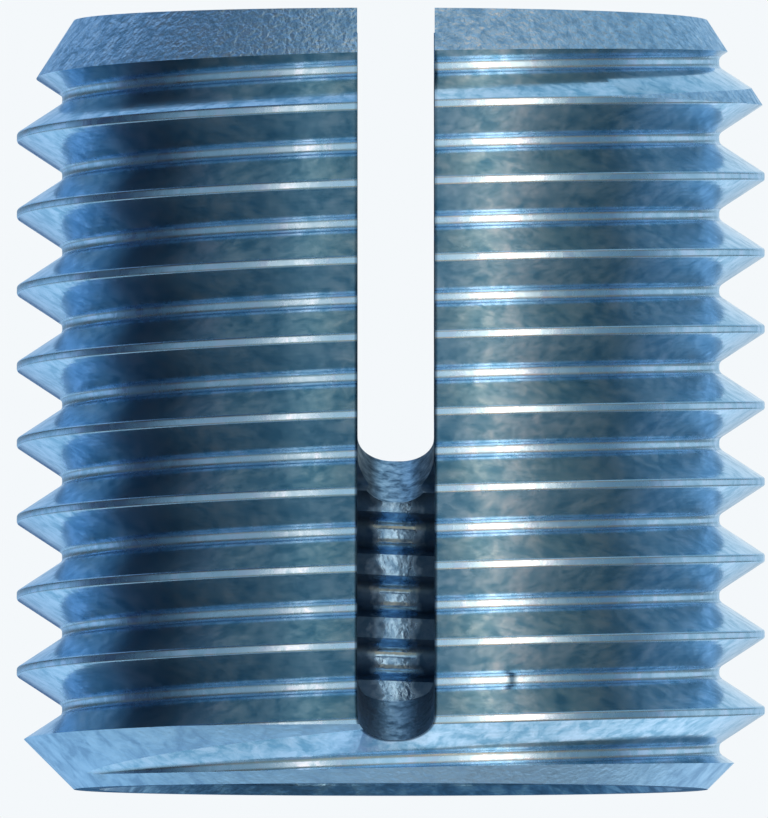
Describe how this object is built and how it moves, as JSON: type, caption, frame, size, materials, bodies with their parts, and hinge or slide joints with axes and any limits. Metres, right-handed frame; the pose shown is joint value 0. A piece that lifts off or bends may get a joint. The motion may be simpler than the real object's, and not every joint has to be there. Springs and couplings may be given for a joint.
{
  "type": "threaded insert",
  "caption": "Slotted steel threaded insert: a sleeve with a thread outside and a threaded bore inside, slotted from its lead end at a slant.",
  "frame": {"origin": "centre of the plain outer end's face, on the axis", "axes": "+Z along the axis to the slotted lead end, -Y out of the slot's deep side"},
  "size_m": [0.0124, 0.0124, 0.0128],
  "materials": {
    "zinc_plated_steel": "blue-bright zinc plate over turned steel, bright on the thread and matt on the lead cone"
  },
  "bodies": {
    "root": {"insert_body": "zinc_plated_steel"}
  },
  "joints": []
}
